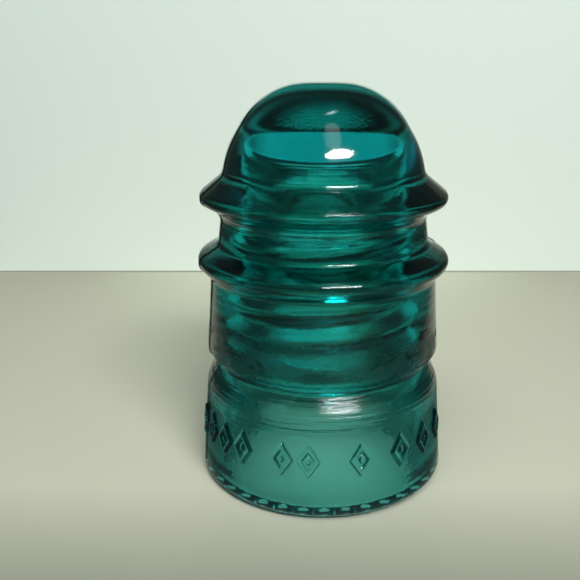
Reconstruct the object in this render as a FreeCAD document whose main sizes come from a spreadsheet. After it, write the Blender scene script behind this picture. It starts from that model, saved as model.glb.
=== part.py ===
"""Pin-type glass line insulator, pony size: one piece of pressed glass.

Millimetres, +Z up. The origin is on the axis, in the plane that the drip points stand on.
Every size is a cell of the Dimensions sheet, and every sketch is bound to those cells.
"""
import FreeCAD, Part
import Sketcher
import math
import os

V = FreeCAD.Vector

NODE = "glass_insulator"

# alias, value, what it is
DIMENSIONS = [
    ("total_height", 88.9, "drip points to the top of the crown"),
    ("crown_top_radius", 13.0, "where the crown's flat top and its dome would meet"),
    ("crown_top_round", 16.8, ""),
    ("crown_side_radius", 21.12, "where the dome and the crown's steep side would meet"),
    ("crown_side_height", 75.3, ""),
    ("crown_side_round", 22.0, ""),
    ("crown_foot_radius", 22.34, "where the crown's side meets the upper ridge"),
    ("crown_foot_height", 69.84, ""),
    ("crown_foot_round", 3.0, ""),
    ("upper_ridge_radius", 28.5, "the upper ridge's flanks would meet here"),
    ("upper_ridge_height", 64.8, ""),
    ("upper_ridge_round", 1.5, ""),
    ("groove_top_radius", 22.7, "top of the groove that the line wire lies in"),
    ("groove_top_height", 61.5, ""),
    ("groove_top_round", 2.9, ""),
    ("groove_foot_radius", 23.6, "foot of the same groove"),
    ("groove_foot_height", 54.7, ""),
    ("groove_foot_round", 1.9, ""),
    ("lower_ridge_radius", 29.3, "the lower ridge's flanks would meet here"),
    ("lower_ridge_height", 51.3, ""),
    ("lower_ridge_round", 1.9, ""),
    ("band_top_radius", 25.5, "crease under the lower ridge"),
    ("band_top_height", 47.4, ""),
    ("band_top_round", 0.8, ""),
    ("band_foot_radius", 26.7, "lip that overhangs the waist"),
    ("band_foot_height", 30.1, ""),
    ("band_foot_round", 1.8, ""),
    ("waist_radius", 23.5, "waist groove between the band and the skirt"),
    ("waist_height", 28.0, ""),
    ("waist_round", 1.4, ""),
    ("skirt_top_radius", 27.0, "shoulder of the skirt"),
    ("skirt_top_height", 22.9, ""),
    ("skirt_top_round", 6.0, ""),
    ("base_radius", 28.7, "outer edge of the base"),
    ("base_height", 0.8, "the rim's underside, above the tips of the drip points"),
    ("base_round", 1.3, ""),
    ("bell_foot_radius", 22.0, "inside of the skirt at the base"),
    ("bell_top_radius", 19.8, "inside of the skirt at its ceiling"),
    ("bell_top_height", 25.4, "ceiling of the bell, and the pinhole's mouth"),
    ("bell_top_round", 5.2, ""),
    ("mouth_radius", 14.3, "plain lead-in at the pinhole's mouth"),
    ("mouth_length", 5.6, ""),
    ("crest_foot_radius", 12.9, "thread crests just above the lead-in"),
    ("crest_top_radius", 12.1, "thread crests at the end of the thread"),
    ("crest_top_height", 60.0, ""),
    ("crest_top_round", 0.5, ""),
    ("pinhole_top_radius", 12.0, "plain closed end of the pinhole"),
    ("pinhole_top_height", 72.6, ""),
    ("pinhole_top_round", 1.0, ""),
    ("thread_pitch", 6.35, "four threads to the inch, right-hand"),
    ("thread_start", 31.4, "height where the thread groove begins"),
    ("thread_rise", 25.4, "height that the thread climbs"),
    ("thread_taper", 1.79, "degrees that the thread leans in towards the top"),
    ("thread_section_radius", 2.2, "radius of the round groove between the crests"),
    ("thread_section_centre", 11.9, "distance of its centre from the axis at the start"),
    ("drip_circle_radius", 25.4, "circle that the drip points stand on"),
    ("drip_tip_radius", 1.0, "flat tip of a drip point"),
    ("drip_foot_radius", 1.85, "drip point where it leaves the rim"),
    ("drip_count", 36, "drip points round the base"),
    ("drip_root", 1.0, "how far a drip point is carried up into the rim"),
]

doc = FreeCAD.newDocument("insulator")
sheet = doc.addObject("Spreadsheet::Sheet", "Dimensions")
for row, (alias, value, note) in enumerate(DIMENSIONS, start=1):
    sheet.set(f"A{row}", alias)
    sheet.set(f"B{row}", str(value))
    sheet.set(f"C{row}", note)
    sheet.setAlias(f"B{row}", alias)
doc.recompute()


def cell(expression):
    """The sheet's value for an alias, or for a sum of aliases."""
    names = expression.replace("+", " + ").replace("-", " - ").split()
    total = 0.0
    sign = 1
    for name in names:
        if name in "+-":
            sign = 1 if name == "+" else -1
        else:
            total += sign * float(sheet.get(name))
    return total


def bound(expression):
    """The same sum as an expression that reads the sheet."""
    names = expression.replace("+", " + ").replace("-", " - ").split()
    return " ".join(n if n in "+-" else f"Dimensions.{n}" for n in names)


def origin_feature(body, role):
    return next(f for f in body.Origin.OriginFeatures if f.Role == role)


def new_sketch(body, name):
    """A sketch on the XZ plane: its x is the radius, its y is the height."""
    sketch = body.newObject("Sketcher::SketchObject", name)
    sketch.AttachmentSupport = (origin_feature(body, "XZ_Plane"), [""])
    sketch.MapMode = "FlatFace"
    return sketch


def constrain(sketch, *what, expression=None):
    index = sketch.addConstraint(Sketcher.Constraint(*what))
    if expression:
        sketch.setExpression(f"Constraints[{index}]", bound(expression))


def place_point(sketch, geometry, end, radius, height):
    """Hold a point at a radius and a height, each an expression or None for zero."""
    if radius is None:
        constrain(sketch, "PointOnObject", geometry, end, -2)
    else:
        constrain(sketch, "DistanceX", -1, 1, geometry, end, cell(radius), expression=radius)
    if height is None:
        constrain(sketch, "PointOnObject", geometry, end, -1)
    else:
        constrain(sketch, "DistanceY", -1, 1, geometry, end, cell(height), expression=height)


def corner_arc(before, corner, after, radius):
    """Where an arc of this radius starts, its middle and its end, tangent to both sides of a corner."""
    back = (before - corner).normalize()
    forth = (after - corner).normalize()
    half = back.getAngle(forth) / 2
    reach = radius / math.tan(half)
    inward = (back + forth).normalize()
    middle = corner + inward * (radius / math.sin(half) - radius)
    return corner + back * reach, middle, corner + forth * reach


def rounded_outline(body, name, corners):
    """A closed outline whose corners are (radius, height, rounding), each an alias or None.

    Each corner is a construction point held by the sheet; the sides pass through
    the corners, and a tangent arc bound to the sheet rounds each corner that has one.
    """
    sketch = new_sketch(body, name)
    spots = [V(cell(r) if r else 0, cell(z) if z else 0, 0) for r, z, _ in corners]
    count = len(corners)
    starts = []
    ends = []
    arcs = {}
    for i in range(count):
        rounding = corners[i][2]
        if rounding:
            arcs[i] = corner_arc(spots[i - 1], spots[i], spots[(i + 1) % count], cell(rounding))
        ends.append(arcs[i][0] if i in arcs else spots[i])
        starts.append(arcs[i][2] if i in arcs else spots[i])
    sides = [
        sketch.addGeometry(Part.LineSegment(starts[i], ends[(i + 1) % count]), False)
        for i in range(count)
    ]
    for i in range(count):
        before = sides[i - 1]
        after = sides[i]
        radius, height, rounding = corners[i]
        if rounding is None:
            constrain(sketch, "Coincident", before, 2, after, 1)
            place_point(sketch, after, 1, radius, height)
            continue
        point = sketch.addGeometry(Part.Point(spots[i]), True)
        place_point(sketch, point, 1, radius, height)
        constrain(sketch, "PointOnObject", point, 1, before)
        constrain(sketch, "PointOnObject", point, 1, after)
        arc = sketch.addGeometry(Part.Arc(*arcs[i]), False)
        turn = (spots[i] - spots[i - 1]).cross(spots[(i + 1) % count] - spots[i]).z
        first, last = (1, 2) if turn > 0 else (2, 1)
        constrain(sketch, "Tangent", before, 2, arc, first)
        constrain(sketch, "Tangent", arc, last, after, 1)
        constrain(sketch, "Radius", arc, cell(rounding), expression=rounding)
    return sketch


def turn_round_axis(body, kind, name, sketch, angle=360):
    """Revolve a sketch round its own vertical axis, adding or cutting glass."""
    feature = body.newObject(f"PartDesign::{kind}", name)
    feature.Profile = sketch
    feature.ReferenceAxis = (sketch, ["V_Axis"])
    feature.Angle = angle
    return feature


def volume_now(body):
    doc.recompute()
    return body.Shape.Volume


def glass_form(body):
    """The outside of the insulator as one solid of revolution."""
    outline = rounded_outline(body, "OutsideOutline", [
        (None, "base_height", None),
        ("base_radius", "base_height", "base_round"),
        ("skirt_top_radius", "skirt_top_height", "skirt_top_round"),
        ("waist_radius", "waist_height", "waist_round"),
        ("band_foot_radius", "band_foot_height", "band_foot_round"),
        ("band_top_radius", "band_top_height", "band_top_round"),
        ("lower_ridge_radius", "lower_ridge_height", "lower_ridge_round"),
        ("groove_foot_radius", "groove_foot_height", "groove_foot_round"),
        ("groove_top_radius", "groove_top_height", "groove_top_round"),
        ("upper_ridge_radius", "upper_ridge_height", "upper_ridge_round"),
        ("crown_foot_radius", "crown_foot_height", "crown_foot_round"),
        ("crown_side_radius", "crown_side_height", "crown_side_round"),
        ("crown_top_radius", "total_height", "crown_top_round"),
        (None, "total_height", None),
    ])
    turn_round_axis(body, "Revolution", "GlassForm", outline)


def hollow(body):
    """The bell under the skirt and the plain pinhole above it, cut in one turn."""
    outline = rounded_outline(body, "HollowOutline", [
        (None, None, None),
        ("bell_foot_radius", None, None),
        ("bell_foot_radius", "base_height", None),
        ("bell_top_radius", "bell_top_height", "bell_top_round"),
        ("mouth_radius", "bell_top_height", None),
        ("mouth_radius", "bell_top_height + mouth_length", None),
        ("crest_foot_radius", "bell_top_height + mouth_length", None),
        ("crest_top_radius", "crest_top_height", "crest_top_round"),
        ("pinhole_top_radius", "pinhole_top_height", "pinhole_top_round"),
        (None, "pinhole_top_height", None),
    ])
    turn_round_axis(body, "Groove", "Hollow", outline)


def pin_thread(body):
    """The tapered round thread that the pin screws into."""
    sketch = new_sketch(body, "ThreadSection")
    centre = V(cell("thread_section_centre"), cell("thread_start"), 0)
    circle = sketch.addGeometry(Part.Circle(centre, V(0, 0, 1), cell("thread_section_radius")), False)
    place_point(sketch, circle, 3, "thread_section_centre", "thread_start")
    constrain(sketch, "Radius", circle, cell("thread_section_radius"), expression="thread_section_radius")
    thread = body.newObject("PartDesign::SubtractiveHelix", "PinThread")
    thread.Profile = sketch
    thread.ReferenceAxis = (sketch, ["V_Axis"])
    thread.Mode = "pitch-height-angle"
    thread.setExpression("Pitch", bound("thread_pitch"))
    thread.setExpression("Height", bound("thread_rise"))
    thread.setExpression("Angle", "-Dimensions.thread_taper")
    thread.LeftHanded = False
    thread.Reversed = False


def drip_points(body):
    """The ring of small points that the glass stands on."""
    sketch = new_sketch(body, "DripOutline")
    axis = cell("drip_circle_radius")
    tip = axis + cell("drip_tip_radius")
    foot = axis + cell("drip_foot_radius")
    top = cell("base_height") + cell("drip_root")
    spots = [V(axis, 0, 0), V(tip, 0, 0), V(foot, cell("base_height"), 0), V(foot, top, 0), V(axis, top, 0)]
    sides = [
        sketch.addGeometry(Part.LineSegment(spots[i], spots[(i + 1) % len(spots)]), False)
        for i in range(len(spots))
    ]
    for i, side in enumerate(sides):
        constrain(sketch, "Coincident", sides[i - 1], 2, side, 1)
    place_point(sketch, sides[0], 1, "drip_circle_radius", None)
    place_point(sketch, sides[1], 1, "drip_circle_radius + drip_tip_radius", None)
    place_point(sketch, sides[2], 1, "drip_circle_radius + drip_foot_radius", "base_height")
    place_point(sketch, sides[3], 1, "drip_circle_radius + drip_foot_radius", "base_height + drip_root")
    place_point(sketch, sides[4], 1, "drip_circle_radius", "base_height + drip_root")
    drip = body.newObject("PartDesign::Revolution", "DripPoint")
    drip.Profile = sketch
    drip.ReferenceAxis = (sketch, [f"Edge{sides[4] + 1}"])
    drip.Angle = 360
    ring = body.newObject("PartDesign::PolarPattern", "DripRing")
    ring.Originals = [drip]
    ring.Axis = (origin_feature(body, "Z_Axis"), [""])
    ring.Angle = 360
    ring.setExpression("Occurrences", bound("drip_count"))
    body.Tip = ring


def check_document():
    for item in doc.Objects:
        if "Invalid" in item.State or "Error" in item.State:
            raise RuntimeError(f"{item.Name} is {item.State}")


body = doc.addObject("PartDesign::Body", "GlassInsulator")
body.Label = NODE
glass_form(body)
form_volume = volume_now(body)
hollow(body)
hollowed_volume = volume_now(body)
pin_thread(body)
threaded_volume = volume_now(body)
drip_points(body)
finished_volume = volume_now(body)
check_document()

if not hollowed_volume < form_volume - 1000:
    raise RuntimeError("the hollow cut nothing")
if not threaded_volume < hollowed_volume - 100:
    raise RuntimeError("the thread cut nothing")
if not finished_volume > threaded_volume + 10:
    raise RuntimeError("the drip points added nothing")

shape = body.Shape
if shape.isNull() or not shape.isValid() or len(shape.Solids) != 1:
    raise RuntimeError("the insulator is not one valid solid")
volumes = (form_volume, hollowed_volume, threaded_volume, finished_volume)
print("volume cm3:", [round(volume / 1000, 2) for volume in volumes])
print("box:", shape.BoundBox)

os.makedirs("parts", exist_ok=True)
shape.exportStep(os.path.join("parts", f"{NODE}.step"))
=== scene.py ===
"""Pin-type glass line insulator on a pale table: the look of the glass, its stage and its light."""
import bpy
import math
import numpy as np
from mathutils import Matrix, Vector


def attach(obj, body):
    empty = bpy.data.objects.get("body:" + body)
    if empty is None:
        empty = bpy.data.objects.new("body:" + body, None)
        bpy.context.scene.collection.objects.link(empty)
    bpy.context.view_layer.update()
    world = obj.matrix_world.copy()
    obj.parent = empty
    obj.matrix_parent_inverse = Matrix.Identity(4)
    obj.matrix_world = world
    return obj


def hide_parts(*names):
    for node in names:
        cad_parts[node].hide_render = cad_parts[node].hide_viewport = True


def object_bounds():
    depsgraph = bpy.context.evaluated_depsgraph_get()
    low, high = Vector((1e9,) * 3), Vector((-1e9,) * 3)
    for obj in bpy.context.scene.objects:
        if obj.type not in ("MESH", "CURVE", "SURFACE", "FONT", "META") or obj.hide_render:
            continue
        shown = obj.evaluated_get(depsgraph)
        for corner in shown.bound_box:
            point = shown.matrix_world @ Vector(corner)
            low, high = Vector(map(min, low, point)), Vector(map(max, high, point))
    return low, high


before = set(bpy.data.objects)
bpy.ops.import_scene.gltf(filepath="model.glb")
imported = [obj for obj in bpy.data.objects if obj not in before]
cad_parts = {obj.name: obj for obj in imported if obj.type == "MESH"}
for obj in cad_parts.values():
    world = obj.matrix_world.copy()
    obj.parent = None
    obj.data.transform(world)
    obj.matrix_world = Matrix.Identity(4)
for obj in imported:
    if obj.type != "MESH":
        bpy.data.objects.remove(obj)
NODE = "glass_insulator"
MM = 0.001
CAD_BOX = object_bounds()
SEED = 7

# ---------------------------------------------------------------- camera
EYE = Vector((-4.3, -163.3, 94.0)) * MM
PITCH_DOWN = math.radians(17.5)
FOCAL_WIDTHS = 740 / 580  # focal length over the picture's width
SHIFT_X = -0.024


def make_camera():
    data = bpy.data.cameras.new("camera")
    data.sensor_width = 36
    data.lens = data.sensor_width * FOCAL_WIDTHS
    data.shift_x = SHIFT_X
    data.clip_start = 0.005
    camera = bpy.data.objects.new("camera", data)
    camera.location = EYE
    camera.rotation_euler = (math.pi / 2 - PITCH_DOWN, 0, 0)
    bpy.context.scene.collection.objects.link(camera)
    bpy.context.scene.camera = camera


# ---------------------------------------------------------------- outline of the glass, in millimetres
HEIGHT = CAD_BOX[1].z / MM
RIM_HEIGHT = 0.8
DRIP_COUNT = 36
DRIP_CIRCLE = 25.4
DRIP_ACROSS = 2.0
DRIP_LENGTH = 2.5

THREAD_PITCH = 6.35
THREAD_START = 31.4
THREAD_SPAN = (31.5, 57.5)
THREAD_DEPTH = 1.5

# radius, height, rounding; from the top of the pinhole down, round the rim and up to the crown
INSIDE = [
    (0.0, 72.6, 0.0),
    (12.0, 72.6, 1.0),
    (12.1, 60.0, 0.5),
    (12.9, 31.0, 0.6),
    (14.3, 30.4, 0.6),
    (14.3, 25.4, 1.0),
    (19.8, 25.4, 5.2),
    (22.0, RIM_HEIGHT, 1.0),
]
OUTSIDE = [
    (28.7, RIM_HEIGHT, 1.3),
    (27.0, 22.9, 6.0),
    (23.5, 28.0, 1.4),
    (26.7, 30.1, 1.8),
    (25.5, 47.4, 0.8),
    (29.3, 51.3, 1.9),
    (23.6, 54.7, 1.9),
    (22.7, 61.5, 2.9),
    (28.5, 64.8, 1.5),
    (22.34, 69.84, 3.0),
    (21.12, 75.3, 22.0),
    (13.0, HEIGHT, 16.8),
    (0.0, HEIGHT, 0.0),
]
BORE_LIMIT = 14.5  # the inside within this radius is the pinhole's
SKIRT_BAND = (8.0, 19.0)  # heights with the raised marks on them
RIM_BAND = 5.5

# how far the skin of the glass strays from its outline, and the heights where it does
SWELL = 0.025
SWELL_TOP = 68
SHEAR = 0.006
SHEAR_TOP = 64
TOOL_MARK = 0.05
TOOL_SPAN = (31.5, 59.5)
NO_TOP = 1e4

# raised marks round the skirt: plain outlined lozenges, repeated on the back
MARK_ANGLES = [math.radians(d) for d in (-74, -63, -51, -39, -19, -7, 16, 36, 52, 68)]
MARK_CENTRE = 13.8
MARK_HALF_HEIGHT = 3.9
MARK_HALF_WIDTH = 2.6
MARK_RELIEF = 0.6
SKIRT_RADIUS = 28.0
SEAM_ANGLE = math.radians(196)
SEAM_RELIEF = 0.22

# spacing of the mesh along the outline, and its steps round the axis
STEP = 0.40
FINE_STEP = 0.22
ROUND_STEPS = 720


def rounded(corners):
    """The outline through these corners as close points, each corner rounded by a tangent arc."""
    points = [np.array(corners[0][:2])]
    for before, corner, after in zip(corners, corners[1:], corners[2:]):
        spot = np.array(corner[:2])
        back = np.array(before[:2]) - spot
        forth = np.array(after[:2]) - spot
        back /= np.linalg.norm(back)
        forth /= np.linalg.norm(forth)
        half = math.acos(np.clip(back @ forth, -1, 1)) / 2
        reach = corner[2] / math.tan(half)
        inward = (back + forth) / np.linalg.norm(back + forth)
        centre = spot + inward * corner[2] / math.sin(half)
        start = spot + back * reach - centre
        end = spot + forth * reach - centre
        sweep = math.atan2(start[0] * end[1] - start[1] * end[0], start @ end)
        for turn in np.linspace(0, sweep, 25):
            cos, sin = math.cos(turn), math.sin(turn)
            points.append(centre + (start[0] * cos - start[1] * sin, start[0] * sin + start[1] * cos))
    points.append(np.array(corners[-1][:2]))
    return np.array(points)


def even_outline():
    """The whole outline resampled: small steps round the rim and on the skirt, longer ones elsewhere."""
    line = rounded(INSIDE + OUTSIDE)
    length = np.concatenate(([0], np.cumsum(np.linalg.norm(np.diff(line, axis=0), axis=1))))
    fine = np.linspace(0, length[-1], 8000)
    radius = np.interp(fine, length, line[:, 0])
    height = np.interp(fine, length, line[:, 1])
    rim = height < RIM_BAND
    band = (height > SKIRT_BAND[0]) & (height < SKIRT_BAND[1]) & (radius > DRIP_CIRCLE)
    step = np.where(rim | band, FINE_STEP, STEP)
    count = np.concatenate(([0], np.cumsum(np.diff(fine) / step[1:])))
    picks = np.linspace(0, count[-1], int(count[-1]) + 1)
    where = np.interp(picks, count, fine)
    return np.interp(where, fine, radius), np.interp(where, fine, height)


def smooth_step(x):
    """0 below 0 and 1 above 1, with no kink at either end."""
    x = np.clip(x, 0, 1)
    return x * x * (3 - 2 * x)


def window(x, low, high, soft):
    """1 between low and high, falling to 0 over soft on either side."""
    return smooth_step((x - low) / soft + 1) * smooth_step((high - x) / soft + 1)


def waves(random, around, along, rounds, stretch, count):
    """Sum of sines that closes on itself: up to rounds per turn, up to stretch radians per mm along."""
    total = np.zeros(np.broadcast(around, along).shape)
    for _ in range(count):
        turns = random.integers(0, rounds + 1)
        pace = random.uniform(-stretch, stretch)
        phase = random.uniform(0, 2 * math.pi)
        total += np.sin(turns * around + pace * along + phase)
    return total / math.sqrt(count)


def turned(a, middle):
    """Signed angle from middle, wrapped into half a turn either way."""
    return np.mod(a - middle + math.pi, 2 * math.pi) - math.pi


def marks(a, z):
    """Height of the raised lozenges: an outline with a point in the middle."""
    relief = np.zeros(np.broadcast(a, z).shape)
    for half_turn in (0, math.pi):
        for angle in MARK_ANGLES:
            across = turned(a, -math.pi / 2 + half_turn + angle) * SKIRT_RADIUS / MARK_HALF_WIDTH
            spread = np.abs(across) + np.abs(z - MARK_CENTRE) / MARK_HALF_HEIGHT
            relief = np.maximum(relief, window(spread, 0.62, 0.88, 0.16))
            relief = np.maximum(relief, window(spread, -1, 0.16, 0.14))
    return MARK_RELIEF * relief


def seams(a):
    """The two lines where the halves of the mould met."""
    line = np.zeros(a.shape)
    for half_turn in (0, math.pi):
        line = np.maximum(line, window(turned(a, SEAM_ANGLE + half_turn), -0.004, 0.004, 0.018))
    return SEAM_RELIEF * line


def drip_points(a, r):
    """How far the drip points reach below the flat of the rim, from 0 to 1."""
    cell = 2 * math.pi / DRIP_COUNT
    across = (np.mod(a + cell / 2, cell) - cell / 2) * DRIP_CIRCLE / DRIP_ACROSS
    near = np.hypot(across, (r - DRIP_CIRCLE) / DRIP_LENGTH)
    return np.sqrt(np.clip(1 - near ** 2.6, 0, 1))


def turn_mesh(radius, height, around):
    """Vertex grid of the glass, one row per outline point, with every moulded detail in it."""
    random = np.random.default_rng(SEED)
    slope_r = np.gradient(radius)
    slope_z = np.gradient(height)
    size = np.hypot(slope_r, slope_z)
    normal_r = (slope_z / size)[:, None]
    normal_z = (-slope_r / size)[:, None]
    r = np.repeat(radius[:, None], len(around), axis=1)
    z = np.repeat(height[:, None], len(around), axis=1)
    a = around[None, :]
    track = np.cumsum(size)[:, None]
    rim = np.argmin(np.abs(height - RIM_HEIGHT) + np.abs(radius - SKIRT_RADIUS))
    outside = (np.arange(len(radius)) > rim)[:, None]
    bore = (radius < BORE_LIMIT)[:, None] & ~outside

    # thread: round grooves on a right-hand helix, fading out at both ends
    phase = (z - THREAD_START) / THREAD_PITCH - a / (2 * math.pi)
    groove = (0.5 + 0.5 * np.cos(2 * math.pi * phase)) ** 0.8
    r = r + np.where(bore, THREAD_DEPTH * groove * window(z, *THREAD_SPAN, 1.5), 0)

    # pressed glass is never quite true: long swells, lines that run round it, tool marks in the bore
    swell = SWELL * waves(random, a, track, 5, 0.25, 10) * (1 - 0.8 * window(z, SWELL_TOP, NO_TOP, 5))
    shear = SHEAR * waves(random, a, track, 2, 5.0, 14) * window(z, -10, SHEAR_TOP, 5)
    tool = TOOL_MARK * waves(random, a, track, 1, 6.0, 14) * window(z, *TOOL_SPAN, 1.0)
    skin = np.where(outside, swell + shear, 0.5 * swell + np.where(bore, tool, 0))
    above_rim = window(z, 3, NO_TOP, 2) * smooth_step(radius / 6)[:, None]
    upright = window(z, 4, HEIGHT - 6, 3)
    skin = skin * above_rim + np.where(outside, marks(a, z) + seams(a) * upright, 0)
    r = r + normal_r * skin
    z = z + normal_z * skin

    under = (height < RIM_HEIGHT + 0.5)[:, None]
    z = np.where(under, z - RIM_HEIGHT * drip_points(a, radius[:, None]), z)
    return r, z


def glass_mesh():
    """The glass as one closed mesh, turned once round the axis."""
    radius, height = even_outline()
    around = np.linspace(0, 2 * math.pi, ROUND_STEPS, endpoint=False)
    r, z = turn_mesh(radius, height, around)
    rings = len(radius)
    grid = np.stack([r * np.cos(around), r * np.sin(around), z], axis=2) * MM
    bottom_pole = grid[0].mean(axis=0)
    top_pole = grid[-1].mean(axis=0)
    body = grid[1:-1].reshape(-1, 3)
    verts = np.concatenate([body, [bottom_pole, top_pole]])
    j = np.arange(ROUND_STEPS)
    k = (j + 1) % ROUND_STEPS
    rows = np.arange(rings - 3)[:, None] * ROUND_STEPS
    above = rows + ROUND_STEPS
    quads = np.stack([rows + j, rows + k, above + k, above + j], axis=2).reshape(-1, 4)
    last = (rings - 3) * ROUND_STEPS
    inner_cap = np.stack([np.full(ROUND_STEPS, len(verts) - 2), k, j], axis=1)
    outer_cap = np.stack([last + j, last + k, np.full(ROUND_STEPS, len(verts) - 1)], axis=1)
    mesh = bpy.data.meshes.new("insulator_glass")
    mesh.from_pydata(verts.tolist(), [], quads.tolist() + inner_cap.tolist() + outer_cap.tolist())
    mesh.polygons.foreach_set("use_smooth", np.ones(len(mesh.polygons), bool))
    mesh.update()
    piece = bpy.data.objects.new("insulator_glass", mesh)
    bpy.context.scene.collection.objects.link(piece)
    return piece


# ---------------------------------------------------------------- materials
BORE_FILM = (0.06, 0.26, 0.17)
# a darker, greener tint over the inside of the bell
BELL_TINT = (0.80, 0.90, 0.78)
# colour of the shade painted into the top corner of the bell's hollow
BELL_CORNER_SHADE = (0.12, 0.30, 0.22)
# a darker, less red tint laid on in blotches
OUTER_BLOTCH_TINT = (0.60, 0.84, 0.66)
BODY_TINT = (0.03, 0.853, 0.866)
BODY_DENSITY = 205.0


class Nodes:
    """Short calls for building a node tree."""

    def __init__(self, name):
        self.material = bpy.data.materials.new(name)
        self.material.use_nodes = True
        self.tree = self.material.node_tree
        self.tree.nodes.clear()

    def add(self, kind, **values):
        node = self.tree.nodes.new(kind)
        for key, value in values.items():
            if hasattr(node, key):
                setattr(node, key, value)
            else:
                node.inputs[key.replace("_", " ")].default_value = value
        return node

    def link(self, out, into):
        self.tree.links.new(out, into)

    def math(self, operation, *values):
        node = self.add("ShaderNodeMath", operation=operation)
        for value, socket in zip(values, node.inputs):
            if isinstance(value, (int, float)):
                socket.default_value = value
            else:
                self.link(value, socket)
        return node.outputs[0]

    def product(self, first, *others):
        """Several shares multiplied together."""
        for other in others:
            first = self.math("MULTIPLY", first, other)
        return first

    def between(self, value, start, end):
        """0 at start, 1 at end, clamped."""
        node = self.add("ShaderNodeMapRange")
        node.inputs["From Min"].default_value = start
        node.inputs["From Max"].default_value = end
        self.link(value, node.inputs["Value"])
        return node.outputs["Result"]

    def tint(self, below, above, share):
        """Colour going from below to above as share goes from 0 to 1."""
        node = self.add("ShaderNodeMix", data_type="RGBA")
        for value, socket in ((below, node.inputs["A"]), (above, node.inputs["B"])):
            if isinstance(value, tuple):
                socket.default_value = (*value, 1)
            else:
                self.link(value, socket)
        self.link(share, node.inputs["Factor"])
        return node.outputs["Result"]

    def noise(self, place, scale, detail):
        """Noise with its own scale along each axis, in grains per metre."""
        stretch = self.add("ShaderNodeVectorMath", operation="MULTIPLY")
        self.link(place, stretch.inputs[0])
        stretch.inputs[1].default_value = scale
        node = self.add("ShaderNodeTexNoise")
        node.inputs["Scale"].default_value = 1
        node.inputs["Detail"].default_value = detail
        self.link(stretch.outputs["Vector"], node.inputs["Vector"])
        return node.outputs["Fac"]


class Places:
    """Where a point of the glass is, in a material's nodes: to the side, up, and out from the axis."""

    def __init__(self, n):
        self.n = n
        self.spot = n.add("ShaderNodeTexCoord").outputs["Object"]
        split = n.add("ShaderNodeSeparateXYZ")
        n.link(self.spot, split.inputs["Vector"])
        flat = n.add("ShaderNodeVectorMath", operation="MULTIPLY")
        n.link(self.spot, flat.inputs[0])
        flat.inputs[1].default_value = (1, 1, 0)
        from_axis = n.add("ShaderNodeVectorMath", operation="LENGTH")
        n.link(flat.outputs["Vector"], from_axis.inputs[0])
        self.side = split.outputs["X"]
        self.up = split.outputs["Z"]
        self.radius = from_axis.outputs["Value"]

    def zone(self, *ramps):
        """1 past the end of every ramp; a ramp is a value, and where it starts and ends in millimetres."""
        shares = [self.n.between(value, start * MM, end * MM) for value, start, end in ramps]
        return self.n.product(*shares)

    def noise(self, scale, detail):
        return self.n.noise(self.spot, scale, detail)

    def blotches(self, scale, detail, start, end):
        """Noise spread out so that it is 0 at start and 1 at end."""
        return self.n.between(self.noise(scale, detail), start, end)


def bore_film(n, at):
    """Share of film on the wall of the bore: streaks, patches, a stain low on the right, and specks."""
    streaks = at.blotches((45, 45, 1100), 5, 0.38, 0.58)
    patches = at.blotches((50, 50, 110), 2, 0.36, 0.58)
    film = n.math("MULTIPLY_ADD", streaks, 0.55, n.math("MULTIPLY", patches, 0.45))
    # washed thin behind the wire groove and low down, and off altogether low on the left
    low = at.zone((at.up, 46, 34))
    low_left = n.product(low, at.zone((at.side, -3, -7)))
    washed = n.math("MAXIMUM", low, at.zone((at.up, 50, 53), (at.up, 67, 64)))
    washed = n.math("MAXIMUM", low_left, n.math("MULTIPLY", washed, 0.78))
    film = n.product(film, n.math("SUBTRACT", 1.0, washed))
    stain = at.zone((at.side, 5, 8), (at.up, 41, 37))
    stain = n.product(stain, at.blotches((120, 120, 180), 3, 0.34, 0.46))
    specks = at.blotches((330, 330, 420), 2, 0.68, 0.72)
    specks = n.product(specks, n.math("SUBTRACT", 1.0, low_left))
    return n.math("MAXIMUM", n.math("MAXIMUM", film, stain), specks)


def surface_relief(n, at, shoulder, pitted):
    """Height of the fine detail: lines drawn round the glass, small ripples, grain and pits."""
    ridges = at.zone((at.radius, 25.4, 26.6), (at.up, 48, 50))
    skirt = at.zone((at.up, 30, 26))
    below_crown = at.zone((at.up, 75, 70))
    depth = n.math("MULTIPLY_ADD", ridges, 3.2, n.math("MULTIPLY_ADD", shoulder, 6.0, 0.6))
    lines = n.product(at.noise((45, 45, 1300), 4), depth)
    ripple = n.product(at.noise((520, 520, 900), 3), n.math("MULTIPLY_ADD", skirt, 0.9, 0.9))
    grain = n.math("MULTIPLY", at.noise((2400, 2400, 800), 2), 0.35)
    pits = n.math("MULTIPLY", n.product(at.noise((2600, 2600, 2600), 3), pitted), 2.0)
    relief = n.product(n.math("ADD", lines, ripple), below_crown)
    return n.math("ADD", n.math("ADD", relief, grain), pits)


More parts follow.
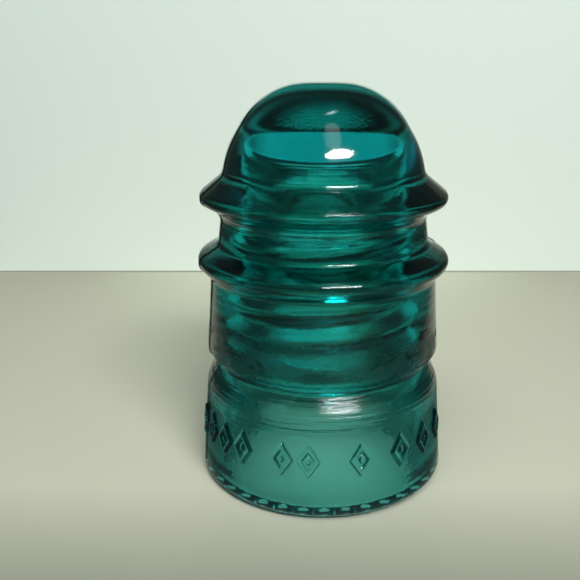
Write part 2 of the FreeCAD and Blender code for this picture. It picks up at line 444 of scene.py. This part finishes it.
def aqua_glass():
    """Blue-green glass that colours light by its thickness, with the stains and wear on its surface and
    shade painted into the top corner of the bell.
    """
    n = Nodes("aqua_glass")
    at = Places(n)
    out = n.add("ShaderNodeOutputMaterial")
    glass = n.add("ShaderNodeBsdfPrincipled")
    bore = at.zone((at.radius, 16, 15), (at.up, 72, 71))
    bell = at.zone((at.radius, 24, 23), (at.up, 27, 26))
    shoulder = at.zone((at.radius, 22.6, 23.4), (at.up, 19, 21), (at.up, 30, 28))
    film = n.product(bore, bore_film(n, at))
    # painted shade: a dark tint in blotches round the top corner of the bell's hollow, standing in for the
    # shade there
    corner = at.zone((at.up, 19.0, 21.5), (at.up, 25.2, 24.2), (at.radius, 15, 16))
    corner = n.product(corner, bell, at.blotches((110, 110, 200), 3, 0.30, 0.50))
    # a darker, less red tint in blotches on the outside, from the lip up
    outer_blotches = at.zone((at.radius, 21.5, 22.5), (at.up, 27, 30))
    outer_blotches = n.product(outer_blotches, at.blotches((90, 90, 240), 4, 0.35, 0.65))
    pitted = at.zone((at.up, 28, 30), (at.up, 40, 34))
    pitted = n.product(pitted, at.blotches((160, 160, 300), 3, 0.44, 0.54))

    colour = n.tint((1, 1, 1), BORE_FILM, film)
    colour = n.tint(colour, BELL_TINT, bell)
    colour = n.tint(colour, BELL_CORNER_SHADE, corner)
    colour = n.tint(colour, OUTER_BLOTCH_TINT, outer_blotches)
    n.link(colour, glass.inputs["Base Color"])

    rough = n.math("MULTIPLY_ADD", bore, 0.10, 0.07)
    rough = n.math("MULTIPLY_ADD", pitted, 0.34, rough)
    rough = n.math("MULTIPLY_ADD", shoulder, 0.08, rough)
    n.link(rough, glass.inputs["Roughness"])

    bump = n.add("ShaderNodeBump", Distance=0.04 * MM)
    n.link(surface_relief(n, at, shoulder, pitted), bump.inputs["Height"])
    n.link(bump.outputs["Normal"], glass.inputs["Normal"])

    glass.inputs["IOR"].default_value = 1.52
    glass.inputs["Transmission Weight"].default_value = 1.0
    n.link(glass.outputs["BSDF"], out.inputs["Surface"])
    body = n.add("ShaderNodeVolumeAbsorption", Density=BODY_DENSITY, Color=(*BODY_TINT, 1))
    n.link(body.outputs["Volume"], out.inputs["Volume"])
    return n.material


# ---------------------------------------------------------------- stage and light, in metres
WALL_Y = 0.162
WALL_HALF = 0.15
WALL_HEIGHT = 0.13
GAP = 0.0007
TABLE_HALF = 1.2
TABLE_FRONT = -0.9
TABLE_PAINT = (0.60, 0.60, 0.48)
# colour of the shade painted on the table
TABLE_SHADE_PAINT = (0.09, 0.12, 0.09)
# colour of the shade painted in the crease between table and wall
CREASE_SHADE_PAINT = (0.36, 0.38, 0.31)
WALL_PAINT = (0.84, 0.94, 0.86)
# colour of the shade painted towards the wall's sides
WALL_SHADE_PAINT = (0.12, 0.16, 0.12)
ROOM_IN_GLASS = (0.05, 0.065, 0.06)
ROOM_BEHIND = (0.50, 0.58, 0.51)

# where painted shade is laid on the stage, as the paint goes from its own colour to the dim one: first
# where it is its own, then where it is dim
DIM_BESIDE = (0.080, 0.125)
DIM_AHEAD = (-0.015, -0.075)
DIM_NEAR_SIDE = (0.030, -0.015)
DIM_ROUND_FOOT = (0.080, 0.060)
DIM_PAST_FOOT = (0.028, 0.033)
DIM_WALL_SIDES = (0.055, 0.105)


def plane(name, corners, material):
    """A flat four-cornered part of the stage."""
    mesh = bpy.data.meshes.new(name)
    mesh.from_pydata(corners, [], [(0, 1, 2, 3)])
    mesh.materials.append(material)
    thing = bpy.data.objects.new(name, mesh)
    bpy.context.scene.collection.objects.link(thing)
    return thing


def gathered_only(n, share):
    """The share, but 0 where the camera looks straight at the paint, so that this painted shade shows only
    in the glass.
    """
    direct = n.add("ShaderNodeLightPath").outputs["Is Camera Ray"]
    return n.product(share, n.math("SUBTRACT", 1.0, direct))


def table_painted_shade(n):
    """1 where shade is painted on the table: a painted fall-off of the light ahead, for all; painted shade
    to either side and a painted shadow round the foot, for the glass alone.
    """
    spot = n.add("ShaderNodeTexCoord").outputs["Object"]
    place = n.add("ShaderNodeSeparateXYZ")
    n.link(spot, place.inputs["Vector"])
    sideways = n.math("MULTIPLY_ADD", place.outputs["Y"], -0.42, n.math("ABSOLUTE", place.outputs["X"]))
    # painted shade to either side, for the glass alone
    beside = n.between(sideways, *DIM_BESIDE)
    # painted fall-off of the light towards the front, seen by the camera too
    ahead = n.between(place.outputs["Y"], *DIM_AHEAD)
    foot = n.add("ShaderNodeVectorMath", operation="LENGTH")
    n.link(spot, foot.inputs[0])
    from_foot = foot.outputs["Value"]
    # painted shadow on the near side and round the foot, outside the glass's footprint
    nearer_side = n.between(place.outputs["Y"], *DIM_NEAR_SIDE)
    near = n.math("MAXIMUM", nearer_side, n.between(from_foot, *DIM_ROUND_FOOT))
    near = n.product(near, n.between(from_foot, *DIM_PAST_FOOT))
    gathered = gathered_only(n, n.math("MAXIMUM", beside, near))
    return n.math("MAXIMUM", gathered, n.math("MINIMUM", ahead, 0.6))


def wall_painted_shade(n):
    """1 where shade is painted on the wall, towards its sides, for the glass alone."""
    place = n.add("ShaderNodeSeparateXYZ")
    n.link(n.add("ShaderNodeTexCoord").outputs["Object"], place.inputs["Vector"])
    return gathered_only(n, n.between(n.math("ABSOLUTE", place.outputs["X"]), *DIM_WALL_SIDES))


def matt(name, colour, one_sided=False, dim=None, dimness=None):
    """Plain matt paint, with painted shade of the colour dim where dimness is 1; one-sided paint is clear
    from behind.
    """
    n = Nodes(name)
    out = n.add("ShaderNodeOutputMaterial")
    paint = n.add("ShaderNodeBsdfPrincipled")
    paint.inputs["Base Color"].default_value = (*colour, 1)
    if dim:
        n.link(n.tint(colour, dim, dimness(n)), paint.inputs["Base Color"])
    paint.inputs["Roughness"].default_value = 0.6
    surface = paint.outputs["BSDF"]
    if one_sided:
        facing = n.add("ShaderNodeNewGeometry")
        clear = n.add("ShaderNodeBsdfTransparent")
        pick = n.add("ShaderNodeMixShader")
        n.link(facing.outputs["Backfacing"], pick.inputs[0])
        n.link(surface, pick.inputs[1])
        n.link(clear.outputs["BSDF"], pick.inputs[2])
        surface = pick.outputs["Shader"]
    n.link(surface, out.inputs["Surface"])
    return n.material


def make_stage():
    """The table, the wall that ends it, and a dark line of painted shade where they meet."""
    w, front = TABLE_HALF, TABLE_FRONT
    table = [(-w, front, 0), (w, front, 0), (w, WALL_Y, 0), (-w, WALL_Y, 0)]
    plane("table", table, matt("table", TABLE_PAINT, dim=TABLE_SHADE_PAINT, dimness=table_painted_shade))
    w, high = WALL_HALF, WALL_HEIGHT
    # a thin strip of painted shade in the crease where table and wall meet
    crease_shade = [(-w, WALL_Y, 0), (w, WALL_Y, 0), (w, WALL_Y, GAP), (-w, WALL_Y, GAP)]
    plane("crease_shade", crease_shade, matt("crease_shade", CREASE_SHADE_PAINT))
    wall = [(-w, WALL_Y, GAP), (w, WALL_Y, GAP), (w, WALL_Y, high), (-w, WALL_Y, high)]
    plane("wall", wall, matt("wall", WALL_PAINT, one_sided=True, dim=WALL_SHADE_PAINT, dimness=wall_painted_shade))


def soft_light(name, azimuth, elevation, distance, size, power, colour=(1, 1, 1), mirrored=True):
    """An area light aimed at the object; azimuth 0 is in front, -Y, and positive towards +X."""
    data = bpy.data.lights.new(name, "AREA")
    data.shape = "ELLIPSE"
    data.size, data.size_y = size
    data.energy = power
    data.color = colour
    lamp = bpy.data.objects.new(name, data)
    a, e = math.radians(azimuth), math.radians(elevation)
    direction = Vector((math.sin(a) * math.cos(e), -math.cos(a) * math.cos(e), math.sin(e)))
    lamp.location = Vector((0, 0, 0.05)) + direction * distance
    lamp.rotation_mode = "QUATERNION"
    lamp.rotation_quaternion = direction.to_track_quat("Z", "Y")
    lamp.visible_glossy = mirrored
    lamp.visible_transmission = mirrored
    bpy.context.scene.collection.objects.link(lamp)


def make_light():
    """The lights and the room round the stage."""
    soft_light("window", 20, 42, 0.7, (0.37, 0.12), 3.8)
    soft_light("upper_window", 14, 56, 0.7, (0.18, 0.22), 0.16)
    soft_light("lamp_above", 35, 80, 0.8, (0.16, 0.014), 0.12)
    soft_light("ceiling", -10, 66, 1.1, (0.9, 0.6), 5.7, (0.97, 1.0, 0.97), mirrored=False)
    # a weak lamp in the hollow of the bell; its negative distance puts it below the middle, shining down
    soft_light("inside_bell", 0, 89, -0.028, (0.03, 0.03), 0.0036, mirrored=False)
    # the room is dim in the glass and pale behind the stage
    world = bpy.data.worlds.new("room")
    world.use_nodes = True
    tree = world.node_tree
    room = tree.nodes["Background"]
    ray = tree.nodes.new("ShaderNodeLightPath")
    tone = tree.nodes.new("ShaderNodeMix")
    tone.data_type = "RGBA"
    tone.inputs["A"].default_value = (*ROOM_IN_GLASS, 1)
    tone.inputs["B"].default_value = (*ROOM_BEHIND, 1)
    tree.links.new(ray.outputs["Is Camera Ray"], tone.inputs["Factor"])
    tree.links.new(tone.outputs["Result"], room.inputs["Color"])
    bpy.context.scene.world = world
    bpy.context.scene.view_settings.view_transform = "Standard"


# ---------------------------------------------------------------- build
make_camera()
glass = glass_mesh()
glass.data.materials.append(aqua_glass())
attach(glass, "root")
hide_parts(NODE)
make_stage()
make_light()
